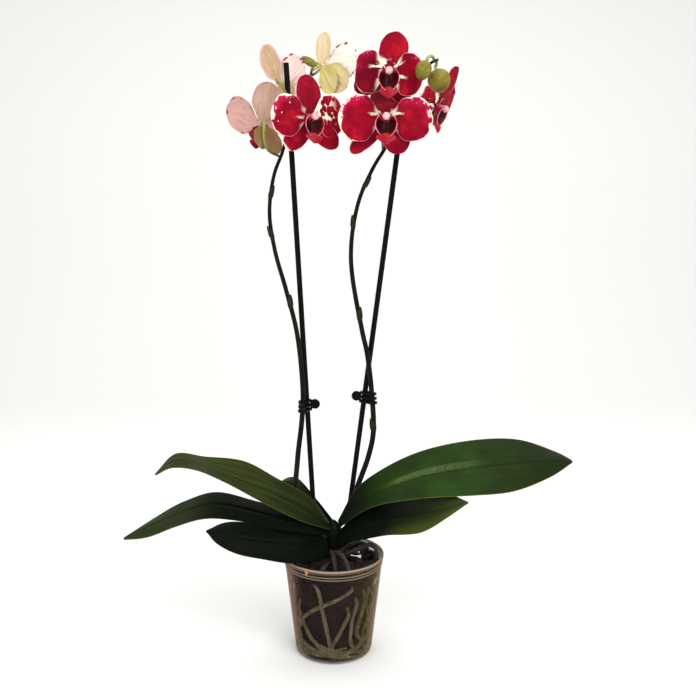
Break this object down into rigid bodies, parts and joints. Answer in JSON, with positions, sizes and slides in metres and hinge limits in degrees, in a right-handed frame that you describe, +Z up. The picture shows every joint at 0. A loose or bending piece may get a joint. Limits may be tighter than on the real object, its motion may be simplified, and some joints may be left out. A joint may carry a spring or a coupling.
{
  "type": "potted orchid",
  "caption": "Moth orchid in a clear growing pot, with broad arching leaves and tall staked flower spikes of red blooms and green buds.",
  "frame": {"origin": "middle of the pot's flat underside", "axes": "+Z up along the plant, -Y the side that the blooms face, +X to the viewer's right"},
  "size_m": [0.5336, 0.1847, 0.7282],
  "materials": {
    "clear_plastic": "gloss",
    "bark": "matte",
    "root": "matte",
    "leaf_green": "satin",
    "stake_black": "satin",
    "spike_dark": "satin",
    "clip_black": "satin",
    "petal_red": "matte",
    "lip_maroon": "gloss",
    "column_pink": "satin",
    "bud_green": "satin"
  },
  "bodies": {
    "root": {"pot": "clear_plastic", "bark": "bark", "roots": "root", "crown": "leaf_green", "leaf_1": "leaf_green", "leaf_2": "leaf_green", "leaf_3": "leaf_green", "leaf_4": "leaf_green", "leaf_5": "leaf_green", "leaf_6": "leaf_green", "stake_left": "stake_black", "stake_right": "stake_black", "spike_left": "spike_dark", "spike_right": "spike_dark", "clip_left": "clip_black", "clip_right": "clip_black", "bloom_1_tepals": "petal_red", "bloom_1_lip": "lip_maroon", "bloom_1_column": "column_pink", "bloom_2_tepals": "petal_red", "bloom_2_lip": "lip_maroon", "bloom_2_column": "column_pink", "bloom_3_tepals": "petal_red", "bloom_3_lip": "lip_maroon", "bloom_3_column": "column_pink", "bloom_4_tepals": "petal_red", "bloom_4_lip": "lip_maroon", "bloom_4_column": "column_pink", "bloom_5_tepals": "petal_red", "bloom_5_lip": "lip_maroon", "bloom_5_column": "column_pink", "bloom_6_tepals": "petal_red", "bloom_6_lip": "lip_maroon", "bloom_6_column": "column_pink", "bloom_7_tepals": "petal_red", "bloom_7_lip": "lip_maroon", "bloom_7_column": "column_pink", "bud_1": "bud_green", "bud_2": "bud_green", "bud_3": "bud_green"}
  },
  "joints": []
}
